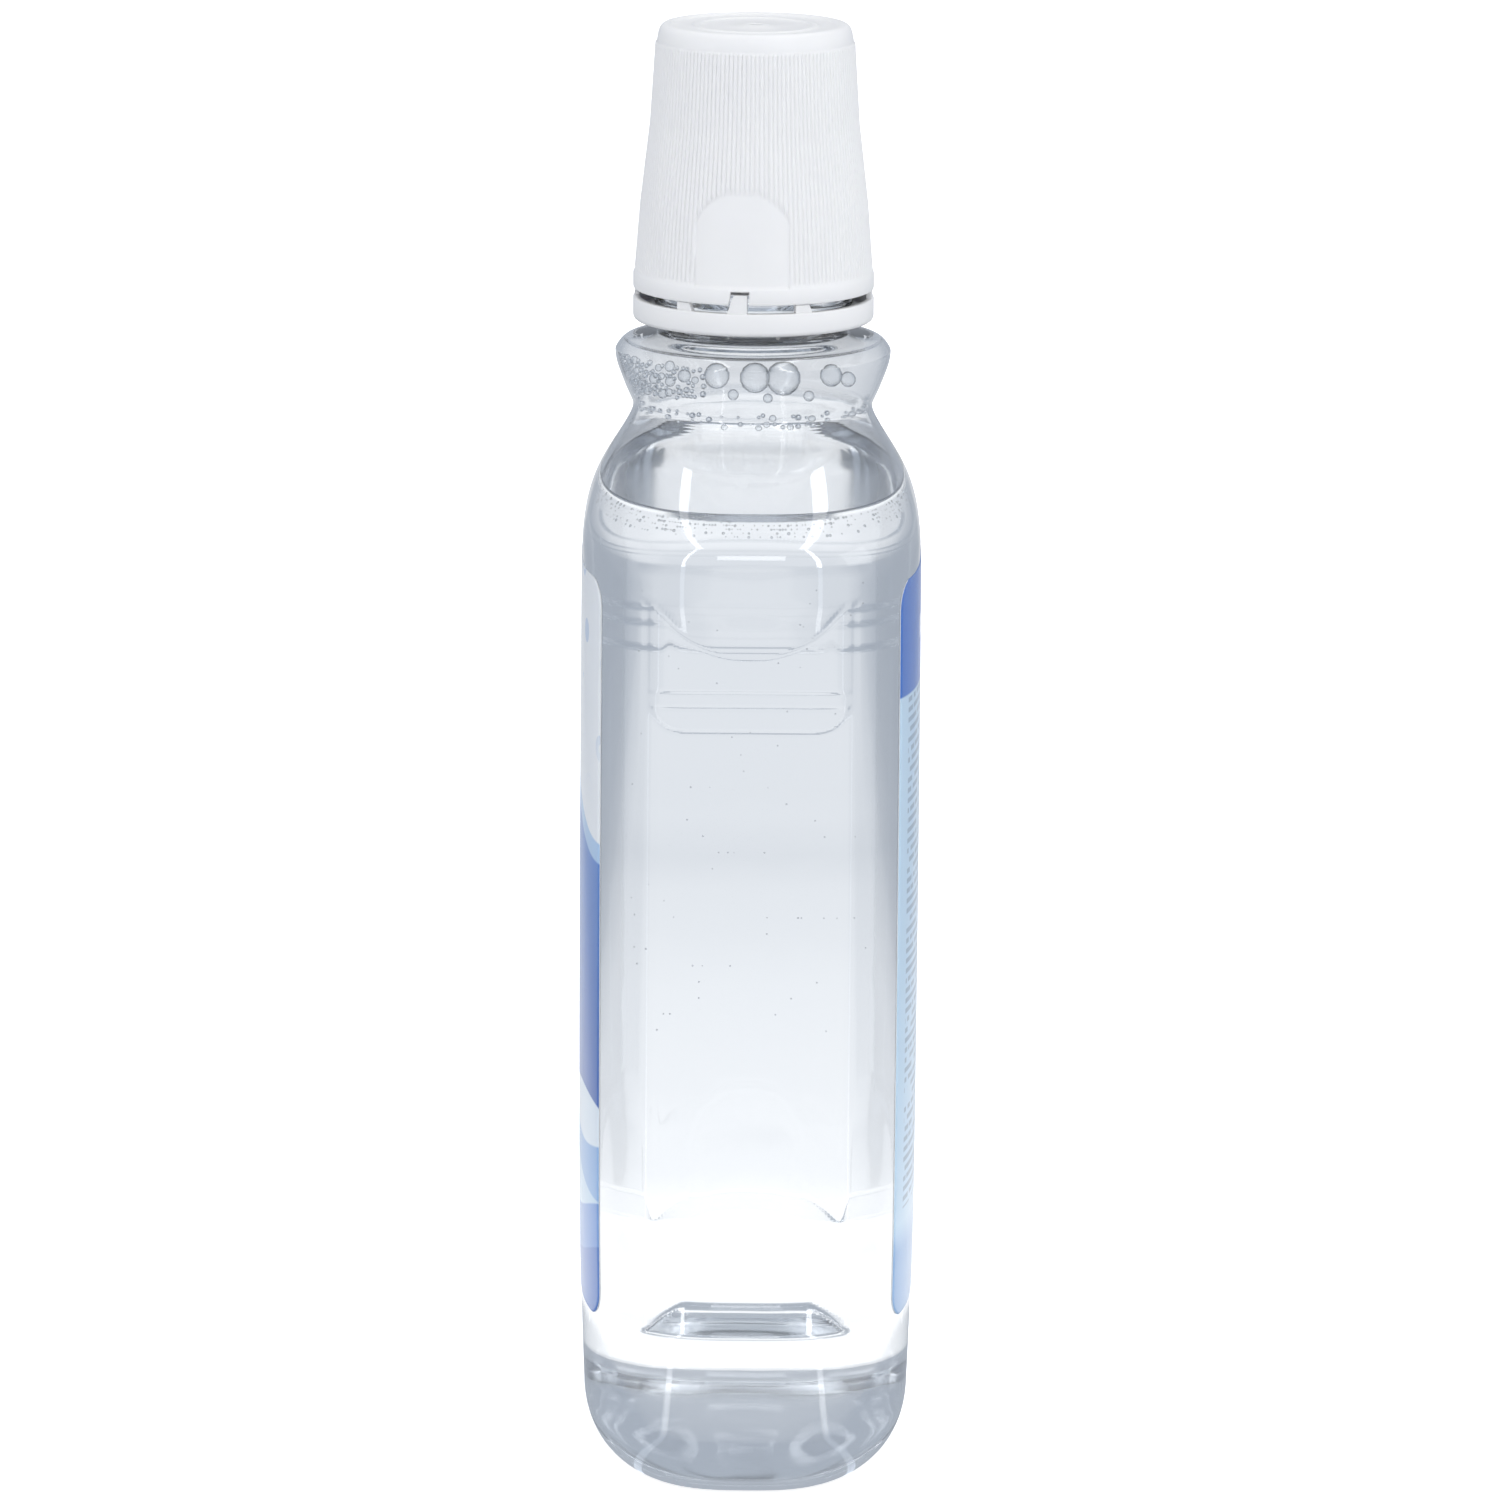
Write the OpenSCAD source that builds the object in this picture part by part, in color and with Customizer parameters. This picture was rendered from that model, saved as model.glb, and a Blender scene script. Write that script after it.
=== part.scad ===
/* [Bottle body] */
// Width of the body, seen from the front
body_width = 84.5; // [80:0.5:90]
// Depth of the body, front to back
body_depth = 50; // [47:0.5:53]
// Height from the table to the waist
waist_height = 155.8; // [150:0.2:164]
// Diameter of the round waist
waist_dia = 34.8; // [33:0.2:36]
// Squareness of the body outline, 2 is an ellipse
body_square = 3; // [2.6:0.1:3.4]
// Wall thickness of the body
body_wall = 0.5; // [0.45:0.05:0.9]
// Height of the shoulder on the narrow sides
shoulder_side = 15.8; // [13:0.2:18]
// Height of the shoulder on the label sides
shoulder_face = 19.2; // [17:0.2:22]
// Inward curve of the label sides towards both ends
body_barrel = 0.2; // [0.1:0.1:0.6]
// Further inward curve of the label sides near the base
base_taper = 0.6; // [0.2:0.1:0.9]

/* [Base] */
// Radius of the rounded heel
heel_radius = 10; // [8:0.5:12]
// Width of the flat standing ring
standing_width = 1.5; // [1:0.1:2.2]
// Height of the hollow under the base
push_up = 2.4; // [1:0.2:3.4]

/* [Side panels] */
// Width of the flat panel on each narrow side
panel_width = 28; // [24:0.5:30]
// Depth of the panel at its middle
panel_depth = 2; // [1.2:0.1:2.6]
// Depth of the upper grip area at its middle
grip_depth = 1.1; // [0.6:0.1:1.2]
// Height where the panel's lower slope starts
panel_low = 25.8; // [22:0.2:30]
// Height of the panel's lower slope
panel_slope = 5.7; // [4:0.1:8]
// Height of the grip area above its step into the panel
grip_height = 19; // [14:0.2:25]
// Height from the end of the grip area up to the shoulder
grip_drop = 5.8; // [4:0.2:10]

/* [Collar and neck] */
// Largest diameter of the collar
collar_dia = 40.4; // [38.6:0.2:42]
// Height from the waist to the collar's widest ring
collar_rise = 8.1; // [7:0.1:9.5]
// Outer diameter of the neck under the bead
neck_dia = 26.8; // [26.4:0.1:27.2]
// Outer diameter of the threaded finish without its thread
finish_dia = 25; // [24.6:0.1:25.4]
// Outer diameter over the thread
thread_dia = 27.5; // [27.1:0.1:27.8]
// Bore of the neck
bore_dia = 21.8; // [21:0.1:22.4]
// Outer diameter of the retaining bead
bead_dia = 29.2; // [28.6:0.1:29.6]
// Height from the collar to the underside of the bead
bead_rise = 4.4; // [4.2:0.1:5]
// Height from the collar to the lip
lip_rise = 20.8; // [20:0.2:24]

/* [Dosing cap] */
// Largest diameter of the cap at its rim
cap_dia = 35.3; // [34.6:0.1:36.4]
// Diameter at the top of the ribbed part
cap_top_dia = 29.4; // [28.4:0.1:30.4]
// Height of the cap
cap_height = 38.8; // [36:0.2:42]
// Wall of the cup
cap_wall = 1.15; // [0.9:0.05:1.3]
// Width of the raised rim round the cap's top
crown_rim = 2.4; // [2.2:0.1:4]
// Depth of the round recess in the cap's top
crown_recess = 0.36; // [0.2:0.02:0.5]
// Height of the smooth rim under the ribs
rim_height = 2.3; // [2.2:0.1:3]
// Depth of the smooth arch panels below the ribs
arch_depth = 0.2; // [0.1:0.05:0.3]
// Width of the smooth arch panels
arch_width = 13.8; // [11:0.2:16]
// Height of the arch panels above the rim's lower edge
arch_height = 16.6; // [13:0.2:20]
// Depth of the drive notches in the rim
notch_depth = 2; // [1.6:0.1:2.1]
// Clearance between the thread and the inner skirt
thread_clearance = 0.2; // [0.15:0.05:0.3]
// Wall of the inner skirt
skirt_wall = 1.1; // [0.9:0.05:1.2]
// Width of the sealing ledge past the bore
ledge_reach = 0.7; // [0.4:0.1:0.9]

/* [Tamper band] */
// Height of the band
band_height = 3.4; // [3:0.1:3.6]
// Gap between the band and the cap
break_gap = 1.2; // [1:0.1:1.4]
// Wall of the band
band_wall = 1.1; // [0.9:0.05:1.3]
// Clearance between the band's flap and the neck
flap_clearance = 0.35; // [0.3:0.05:0.45]
// Number of breakaway posts
post_count = 6; // [4:2:8]
// Width of each post
post_width = 2.6; // [2:0.1:3]

/* [Seal, labels and fill] */
// Thickness of the seal ring
seal_thick = 1.2; // [0.8:0.1:1.6]
// Clearance between the seal ring and the skirt
seal_clearance = 0.1; // [0.05:0.05:0.2]
// Width of each label, measured straight across
label_width = 60; // [52:1:62]
// Lower edge of the labels
label_low = 25; // [20:0.5:32]
// Upper edge of the labels
label_high = 135.3; // [126:0.5:135.5]
// Corner radius of the labels
label_corner = 4; // [2:0.5:8]
// Thickness of each label
label_thick = 0.2; // [0.15:0.05:0.3]
// Clearance between a label and the body
label_clearance = 0.1; // [0.1:0.02:0.2]
// Level of the liquid
fill_level = 144; // [120:0.5:145]
// Clearance between the liquid and the wall
fill_clearance = 0.1; // [0.08:0.02:0.2]

/* [Hidden] */
ring_points = 56;
half_w = body_width / 2;
half_d = body_depth / 2;
waist_r = waist_dia / 2;
waist_z = waist_height;
side_z = waist_z - shoulder_side;
grip_high = side_z - grip_drop;
grip_low = grip_high - grip_height;
face_z = waist_z - shoulder_face;
barrel_mid = waist_z / 2;
barrel_span = waist_z / 2 - heel_radius;
taper_z = 45;
waist_step = 0.06;
shoulder_power = 1.1;
collar_r = collar_dia / 2;
collar_z = waist_z + collar_rise;
neck_z = collar_z + 2.9;
bead_z = neck_z + bead_rise;
lip_z = neck_z + lip_rise;
cap_z = bead_z + 2.3;
cap_r = cap_dia / 2;
skirt_r = thread_dia / 2 + thread_clearance;
ledge_z = lip_z + seal_thick;
ledge_thick = 1.2;
ledge_r = bore_dia / 2 + ledge_reach;
band_top = cap_z - break_gap;
band_low = band_top - band_height;
flap_r = neck_dia / 2 + flap_clearance;
tab_angle = -6;
post_angle = -35;
cap_top_r = cap_top_dia / 2;
rib_low = rim_height + 0.5;
rib_high = cap_height - 4.7;

function clamp01(u) = min(max(u, 0), 1);
function ease(u) = clamp01(u) * clamp01(u) * (3 - 2 * clamp01(u));
function rise(u) = pow(sin(90 * clamp01(u)), shoulder_power);

// Half width, half depth and squareness of the body at a height
function barrel(z) =
    body_barrel * pow((min(z, face_z) - barrel_mid) / barrel_span, 2) +
    base_taper * pow(clamp01((taper_z - z) / (taper_z - heel_radius)), 2);
function wide(z) = waist_r + (half_w - waist_r) * rise((waist_z - z) / shoulder_side);
function deep(z) = waist_r + (half_d - barrel(z) - waist_r) * rise((waist_z - z) / shoulder_face);
function square_at(z) = 2 + (body_square - 2) * ease((waist_z - z) / shoulder_side);

// Recess of the flat panel and of the grip area on the narrow sides
function panel_share(y, z) = min(
    clamp01((panel_width / 2 - abs(y)) / 3),
    clamp01((z - panel_low) / panel_slope),
    clamp01((grip_high - z) / 1.5)
);
function panel_sink(z) = grip_depth + (panel_depth - grip_depth) * clamp01((grip_low - z) / 1.5);
function sunk(x, y, z, w) =
    let (floor_x = half_w - w - panel_sink(z))
    abs(x) <= floor_x ? x : sign(x) * (abs(x) - panel_share(y, z) * (abs(x) - floor_x));

// One closed outline of the body, with half sizes a and b, squareness n and inset w
function outline(a, b, n, z, look_z, w) = [
    for (i = [0 : ring_points - 1])
        let (
            c = cos(360 * i / ring_points),
            s = sin(360 * i / ring_points),
            k = pow(pow(abs(c), n) + pow(abs(s), n), -1 / n)
        )
        [sunk(k * a * c, k * b * s, look_z, w), k * b * s, z]
];
function heel_ring(t, w) =
    let (inset = heel_radius - (heel_radius - w) * sin(t))
    outline(
        half_w - inset,
        deep(heel_radius) - inset,
        body_square,
        heel_radius - (heel_radius - w) * cos(t),
        0,
        w
    );
function base_ring(inset, up, w) =
    outline(half_w - inset, deep(heel_radius) - inset, body_square, w + up, 0, w);
function body_ring(z, w) = outline(wide(z + w) - w, deep(z + w) - w, square_at(z), z, z, w);

// Heights of the outlines from the heel up to the waist
heights = [
    heel_radius,
    (heel_radius + panel_low) / 2,
    panel_low,
    panel_low + panel_slope,
    for (k = [1 : 3]) panel_low + panel_slope + k * (grip_low - panel_low - panel_slope) / 4,
    grip_low - 1.5,
    grip_low,
    (grip_low + grip_high) / 2,
    grip_high - 1.5,
    grip_high,
    for (k = [0 : 9]) side_z + (waist_z - side_z) * rise(k / 9.6)
];
function base_rings(w) = [
    base_ring(heel_radius + standing_width + 5, push_up, w),
    base_ring(heel_radius + standing_width + 3, push_up * 0.8, w),
    base_ring(heel_radius + standing_width, 0, w),
    for (t = [0 : 18 : 72]) heel_ring(t, w)
];
function body_rings(w) = concat(
    base_rings(w),
    [for (z = heights) body_ring(z, w)],
    [outline(waist_r - w + waist_step, waist_r - w + waist_step, 2, waist_z, waist_z, w)]
);
function fill_rings(w) = concat(
    base_rings(w),
    [for (z = heights) if (z < fill_level - 0.5) body_ring(z, w)],
    [body_ring(fill_level, w)]
);

// Solid through a stack of closed outlines, lowest first
module loft(rings) {
    n = len(rings[0]);
    m = len(rings);
    sides = [
        for (k = [0 : m - 2], i = [0 : n - 1])
            let (j = (i + 1) % n, a = k * n + i, b = k * n + j)
            each (floor(4 * i / n) % 2 == 0
                ? [[a, a + n, b + n], [a, b + n, b]]
                : [[a, a + n, b], [b, a + n, b + n]])
    ];
    bottom = [[for (i = [0 : n - 1]) i]];
    top = [[for (i = [n - 1 : -1 : 0]) (m - 1) * n + i]];
    polyhedron(points = [for (r = rings) each r], faces = concat(sides, bottom, top), convexity = 8);
}

// Collar and neck outline from the waist up, set in by w below the bead
function collar_line(w) = [
    [waist_r - w, waist_z + 0.3],
    [waist_r + 0.9 - w, waist_z + 2.3],
    [collar_r - 0.3 - w, collar_z - 1.6],
    [collar_r - w, collar_z],
    [collar_r - 0.15 - w, collar_z + 0.8 - w / 2],
    [collar_r - 1.15 - w, collar_z + 2 - w],
    [collar_r - 2.4 - w, collar_z + 2.6 - w]
];

module bottle_outside() {
    loft(body_rings(0));
    rotate_extrude($fn = 96)
        polygon(concat(
            [[0, waist_z - 0.6], [waist_r, waist_z - 0.6]],
            collar_line(0),
            [
                [neck_dia / 2 + 1.2, neck_z],
                [neck_dia / 2 + 0.3, neck_z + 0.4],
                [neck_dia / 2, neck_z + 1.1],
                [neck_dia / 2, bead_z],
                [bead_dia / 2 - 0.3, bead_z],
                [bead_dia / 2, bead_z + 0.3],
                [bead_dia / 2, bead_z + 0.8],
                [finish_dia / 2 + 0.3, bead_z + 1.8],
                [finish_dia / 2, bead_z + 2.6],
                [finish_dia / 2, lip_z - 0.4],
                [finish_dia / 2 - 0.4, lip_z],
                [0, lip_z]
            ]
        ));
}

module bottle_inside() {
    loft(body_rings(body_wall));
    rotate_extrude($fn = 96)
        polygon(concat(
            [[0, waist_z - 0.6], [waist_r - body_wall, waist_z - 0.6]],
            collar_line(body_wall),
            [
                [neck_dia / 2 - 0.6, neck_z - body_wall - 0.1],
                [bore_dia / 2 + 0.5, neck_z + 0.5],
                [bore_dia / 2, neck_z + 2],
                [bore_dia / 2, lip_z + 1],
                [0, lip_z + 1]
            ]
        ));
}

// Clear blown bottle with its panels, collar, neck and retaining bead
module bottle() {
    color([0.86, 0.9, 0.93, 0.35])
        difference() {
            bottle_outside();
            bottle_inside();
        }
}

// Liquid fill up to its level
module mouthwash() {
    color([0.8, 0.88, 0.93, 0.5])
        loft(fill_rings(body_wall + fill_clearance));
}

// Outer line of the cap from the rim up to the top band
rib_line = [
    [cap_r - 0.2, rib_low],
    [cap_r - 0.98, 12.7],
    [cap_top_r + 0.6, rib_high - 9.6],
    [cap_top_r, rib_high]
];
cup_line = [for (p = rib_line) [p[0] - cap_wall, p[1]]];

module cap_solid() {
    rotate_extrude($fn = 96)
        polygon(concat(
            [[cap_r - 0.3, 0], [cap_r, 0.3], [cap_r, rim_height], [cap_r - 0.2, rim_height + 0.2]],
            rib_line,
            [
                [cap_top_r - 0.2, rib_high + 0.2],
                [cap_top_r - 0.48, cap_height - 2.1],
                [cap_top_r - 0.66, cap_height - 1.1],
                [cap_top_r - 0.95, cap_height - 0.45],
                [cap_top_r - 1.4, cap_height - 0.1],
                [cap_top_r - 1.9, cap_height],
                [cap_top_r - crown_rim, cap_height],
                [cap_top_r - crown_rim - 0.6, cap_height - crown_recess],
                [0, cap_height - crown_recess],
                [0, cap_height - 1.3],
                [cap_top_r - 2.6, cap_height - 1.3],
                [cap_top_r - 1.8, cap_height - 2],
                [cup_line[3][0], rib_high],
                [cup_line[2][0], cup_line[2][1]],
                [ledge_outer, ledge_z + ledge_thick - cap_z],
                [ledge_r, ledge_z + ledge_thick - cap_z],
                [ledge_r, ledge_z - cap_z],
                [skirt_r, ledge_z - cap_z],
                [skirt_r, 1.6],
                [skirt_r + 0.3, 1.2],
                [skirt_r + skirt_wall, 1.2],
                [skirt_r + skirt_wall, 10.5],
                [slot_outer, 10.5],
                [cap_r - 0.2 - cap_wall, rib_low],
                [cap_r - cap_wall, 0]
            ]
        ));
}

// Inner radius of the cup at the ledge and at the top of the slot
function cup_r(z) = lookup(z, [for (p = cup_line) [p[1], p[0]]]);
ledge_outer = cup_r(ledge_z + ledge_thick - cap_z);
slot_outer = max(cup_r(10.5), skirt_r + skirt_wall + 0.3);

// Shape that clears the ribs' height in front of an arch panel
module arch_cut() {
    arc_r = arch_width / 2 + 0.6;
    intersection() {
        rotate_extrude($fn = 96)
            polygon(concat(
                [[cap_r + 2, rib_low], [cap_r + 2, rib_high]],
                [for (k = [3 : -1 : 0]) [rib_line[k][0] - arch_depth, rib_line[k][1]]]
            ));
        translate([5, 0, 0])
            rotate([90, 0, 90])
                linear_extrude(20)
                    intersection() {
                        translate([-arch_width / 2, 0])
                            square([arch_width, arch_height]);
                        union() {
                            translate([0, arch_height - arc_r])
                                circle(arc_r, $fn = 64);
                            translate([-arch_width / 2, 0])
                                square([arch_width, arch_height - arc_r]);
                        }
                    }
    }
}

// Flat sided prism that stands out from the axis between two radii
module radial_prism(from_r, to_r, shape) {
    translate([from_r, 0, 0])
        rotate([90, 0, 90])
            linear_extrude(to_r - from_r)
                polygon(shape);
}

// White tapered cup with an inner skirt, ledge, arch panels and drive notches
module dosing_cap() {
    color([0.93, 0.94, 0.95])
        translate([0, 0, cap_z])
            difference() {
                cap_solid();
                for (a = [tab_angle, tab_angle + 180])
                    rotate([0, 0, a]) {
                        arch_cut();
                        radial_prism(
                            skirt_r + skirt_wall + 0.3,
                            cap_r + 2,
                            [[-2, -1], [1.24, -1], [1.24, notch_depth], [-1.46, notch_depth]]
                        );
                    }
            }
}

// Plain ring under the cap, with a flap that catches under the bead
module tamper_band() {
    inner = cap_r - band_wall;
    color([0.92, 0.93, 0.94])
        rotate_extrude($fn = 96)
            polygon([
                [cap_r - 0.2, band_top],
                [inner, band_top],
                [inner, bead_z - 0.7],
                [flap_r + 0.7, bead_z - 0.25],
                [flap_r, bead_z - 0.25],
                [flap_r, bead_z - 0.9],
                [inner - 0.2, band_low],
                [cap_r - 0.6, band_low],
                [cap_r - 0.15, band_low + 0.25],
                [cap_r, band_low + 0.7],
                [cap_r, band_top - 0.2]
            ]);
}

// Posts and drive tabs that tie the band to the cap until first opening
module breakaway_tabs() {
    from_r = cap_r - band_wall + 0.1;
    to_r = cap_r - 0.25;
    color([0.91, 0.92, 0.93])
        translate([0, 0, cap_z]) {
            for (k = [0 : post_count - 1])
                rotate([0, 0, post_angle + k * 360 / post_count])
                    radial_prism(
                        from_r,
                        to_r,
                        [
                            [-post_width / 2, -break_gap],
                            [post_width / 2, -break_gap],
                            [post_width / 2 - 0.5, -0.05],
                            [-post_width / 2, -0.05]
                        ]
                    );
            for (a = [tab_angle, tab_angle + 180])
                rotate([0, 0, a])
                    radial_prism(
                        from_r,
                        to_r,
                        [
                            [-2, -break_gap],
                            [0.9, -break_gap],
                            [0.9, notch_depth - 0.5],
                            [-1.05, notch_depth - 0.5]
                        ]
                    );
        }
}

// Soft ring between the lip and the ledge in the cap
module seal_ring() {
    color([0.85, 0.88, 0.9])
        translate([0, 0, lip_z])
            difference() {
                cylinder(h = seal_thick, r = skirt_r - seal_clearance, $fn = 96);
                translate([0, 0, -1])
                    cylinder(h = seal_thick + 2, r = bore_dia / 2 + 0.2, $fn = 96);
            }
}

// Thin curved label on the face at negative Y
function label_half(z) =
    let (d = min(z - label_low, label_high - z, label_corner))
    label_width / 2 - label_corner + sqrt(max(pow(label_corner, 2) - pow(label_corner - d, 2), 0));
function face_y(x, z, out) =
    let (a = wide(z) + out, n = square_at(z))
    -(deep(z) + out) * pow(1 - pow(abs(x) / a, n), 1 / n);
label_rows = [
    for (k = [0 : 3]) label_low + label_corner * (1 - cos(30 * k)),
    for (k = [1 : 7])
        label_low + label_corner + k * (label_high - label_low - 2 * label_corner) / 8,
    for (k = [3 : -1 : 0]) label_high - label_corner * (1 - cos(30 * k))
];
label_columns = 20;

module face_label() {
    loft([
        for (z = label_rows)
            concat(
                [
                    for (k = [0 : label_columns])
                        let (x = label_half(z) * (2 * k / label_columns - 1))
                        [x, face_y(x, z, label_clearance + label_thick), z]
                ],
                [
                    for (k = [label_columns : -1 : 0])
                        let (x = label_half(z) * (2 * k / label_columns - 1))
                        [x, face_y(x, z, label_clearance), z]
                ]
            )
    ]);
}

// Label on the front face
module front_label() {
    color([0.75, 0.83, 0.93])
        face_label();
}

// Label on the back face
module back_label() {
    color([0.6, 0.73, 0.9])
        rotate([0, 0, 180])
            face_label();
}

bottle();
mouthwash();
dosing_cap();
seal_ring();
tamper_band();
breakaway_tabs();
front_label();
back_label();
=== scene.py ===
import math

import bmesh
import bpy
import numpy as np
from mathutils import Matrix, Vector


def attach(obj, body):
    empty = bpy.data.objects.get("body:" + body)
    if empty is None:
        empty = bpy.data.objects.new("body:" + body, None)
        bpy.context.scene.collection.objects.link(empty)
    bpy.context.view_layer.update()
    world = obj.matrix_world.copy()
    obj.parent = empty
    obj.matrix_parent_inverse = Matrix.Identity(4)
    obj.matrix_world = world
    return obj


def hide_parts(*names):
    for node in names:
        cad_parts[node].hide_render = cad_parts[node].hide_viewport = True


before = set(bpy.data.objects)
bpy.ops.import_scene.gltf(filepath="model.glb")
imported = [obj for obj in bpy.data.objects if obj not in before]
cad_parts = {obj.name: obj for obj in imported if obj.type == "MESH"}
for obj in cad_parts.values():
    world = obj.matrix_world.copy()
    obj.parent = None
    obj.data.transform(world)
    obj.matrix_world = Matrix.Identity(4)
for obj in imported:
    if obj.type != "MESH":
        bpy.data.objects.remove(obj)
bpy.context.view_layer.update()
MM = 0.001

# Body in millimetres, with the values of the solids
BODY_WIDTH = 84.5
BODY_DEPTH = 50.0
WAIST_Z = 155.8
WAIST_R = 17.4
BODY_SQUARE = 3.0
BODY_WALL = 0.5
SHOULDER_SIDE = 15.8
SHOULDER_FACE = 19.2
SHOULDER_POWER = 1.1
BODY_BARREL = 0.2
BASE_TAPER = 0.6
TAPER_Z = 45.0
HALF_W = BODY_WIDTH / 2
HALF_D = BODY_DEPTH / 2
FACE_Z = WAIST_Z - SHOULDER_FACE

# Base: heel, flat standing ring and dome (share of the way out, share of the push-up), in a thicker wall
HEEL_RADIUS = 10.0
STANDING_WIDTH = 1.5
PUSH_UP = 2.4
DOME = [(0.004, 1.0), (0.3, 0.97), (0.55, 0.86), (0.74, 0.64), (0.88, 0.34), (0.96, 0.09), (1, 0)]
BASE_EXTRA_WALL = 0.3
BASE_EXTRA_Z = 18.0
BASE_EXTRA_RUN = 16.0

# Recess in both narrow sides: a panel and, above a step, a shallower grip. Its floor is deeper than in the
# solids, so that the clear wall bends the light as the real one does
PANEL_WIDTH = 28.0
PANEL_DEPTH = 3.2
PANEL_LOW = 25.8
PANEL_SLOPE = 5.7
GRIP_DEPTH = 2.2
GRIP_LOW = 115.2
GRIP_FLAT = 125.5
GRIP_HIGH = 134.2
HEAD_TOP = GRIP_HIGH + 1
HEAD_RELEASE = 2.0
HEAD_RUN = 9.0
STEP_MARGIN = 0.4
STEP_HALF = PANEL_WIDTH / 2 + STEP_MARGIN
STEP_CORNER = 5.0
STEP_RUN = 0.9
CREASES = (121.7, 119.4)
CREASE_SHARE = 0.3
RECESS_EDGE = 0.7
FOOT_CUT = 2.5
FOOT_RUN = 25.0

# Heights of the body's rows as (from, to, step), close together where the recess turns
BODY_ROWS = [
    (HEEL_RADIUS, PANEL_LOW - 0.6, 1.2),
    (PANEL_LOW - 0.4, PANEL_LOW + PANEL_SLOPE + 0.8, 0.4),
    (PANEL_LOW + PANEL_SLOPE + 1.2, 112, 2.4),
    (112.4, 135, 0.3),
    (135.2, WAIST_Z - 0.1, 0.45),
]
COLUMNS = 360
TURN = np.arange(COLUMNS) * 2 * np.pi / COLUMNS

# Collar, neck and finish with its thread
COLLAR_R = 20.2
COLLAR_Z = WAIST_Z + 8.1
NECK_R = 13.4
NECK_Z = COLLAR_Z + 2.9
BEAD_R = 14.6
BEAD_Z = NECK_Z + 4.4
FINISH_R = 12.5
BORE_R = 10.9
LIP_Z = NECK_Z + 20.8
THREAD_R = 13.75
THREAD_PITCH = 4.23
THREAD_TURNS = 1.6
THREAD_LOW = LIP_Z - 1.9 - THREAD_PITCH * THREAD_TURNS
THREAD_HALF = 1.15
THREAD_FLANK = 0.6
THREAD_RUN_OUT = 0.4

# Dosing cap, with heights above its lower edge
CAP_Z = BEAD_Z + 2.3
CAP_R = 17.65
CAP_TOP_R = 14.7
CAP_HEIGHT = 38.8
CAP_WALL = 1.15
RIM_HEIGHT = 2.3
RIB_LOW = RIM_HEIGHT + 0.5
RIB_HIGH = CAP_HEIGHT - 2.7
RIB_COUNT = 144
RIB_DEPTH = 0.26
RIB_END = 0.35
ARCH_WIDTH = 13.8
ARCH_HEIGHT = 16.6
ARCH_MARGIN = 0.6
TOP_RECESS = 0.36
TOP_THICK = 1.3
LEDGE_R = 11.6
LEDGE_LOW = 15.3
LEDGE_TOP = 17.7
SKIRT_R = 13.95
SKIRT_OUT_R = 15.05
SKIRT_LOW = 1.2
SKIRT_ROOT = 10.5
SCREW_ROOT_R = 14.05
SCREW_CREST_R = 12.85
SCREW_TURNS = 1.5

# Tamper band, and the notches that its drive tabs stand in
NOTCH_DEPTH = 2.0
TAB_ANGLE = -6.0
BAND_TOP = CAP_Z - 1.2
BAND_LOW = BAND_TOP - 3.4
BAND_WALL = 1.1
FLAP_R = 13.75

# Labels: they stand on the body by a hair and reach into it, so that no gap shows
LABEL_WIDTH = 60.0
LABEL_LOW = 25.0
LABEL_HIGH = 135.3
LABEL_CORNER = 4.0
LABEL_PROUD = 0.1
LABEL_SUNK = 0.25

# Mouthwash: it reaches into the wall by a hair, and its edge climbs the wall above the level
SOAK_DEPTH = 0.08
RINSE_INSET = BODY_WALL - SOAK_DEPTH
FILL_Z = 144.0
MENISCUS = 2.5
MENISCUS_REACH = 0.75
SURFACE_STEPS = (0, 0.08, 0.2, 0.35, 0.52, 0.72, 0.95, 1.25, 1.6, 2.1, 2.8, 3.8, 5.5, 8, 11, 15)
EDGE_BUBBLES = 260
LOW_BUBBLES = 70
FOAM_BUBBLES = 150
WAIST_BUBBLES = 70
# Large bubbles in the foam as (degrees round the bottle, height, radius)
LARGE_BUBBLES = [
    (-17, 162.6, 1.85), (1, 162.3, 2.2), (15, 161.8, 2.5), (7, 159.6, 0.7),
    (39, 162.4, 1.6), (49, 161.5, 1.1), (-9, 160.0, 0.8), (27, 159.9, 0.8),
]

# Print of the front label: cells with a drop each above a height, and the broad swell with its light rim
DROP_CELL = 9.0
DROPS_Z = 112.0
RIM_Z = 100.0
CREST_Z = 97.0
CREST_SWING = 3.5
CREST_LENGTH = 46.0
# Swells at its foot as (height, ink), from the top one down
SWELLS = [(56.0, "#DCE8F5"), (52.5, "#8FB3E0"), (45.0, "#C4DAF0"), (41.0, "#6F98D4"), (34.5, "#4C78C0")]
SWELL_SWING = 2.4
SWELL_LENGTH = 38.0

# Print of the back label: rows and words that the grey bars stand for, their field, the head and the foot
ROW_PITCH = 1.5
WORD_WIDTH = 2.6
FIELD_HALF = 26.0
FIELD_LOW = 41.0
HEAD_Z = 117.5
PALE_BAR_Z = 126.0
PALE_BAR_HALF = 15.0
FOOT_Z = 37.0

# Camera, above the table in front of the narrow side
CAMERA_DISTANCE = 1146.3
CAMERA_HEIGHT = 360.1
CAMERA_PITCH = 0.2198
CAMERA_ROLL = 0.44
FOCAL_PIXELS = 7918.0
FRAME_PIXELS = 1500.0
SENSOR = 36.0

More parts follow.
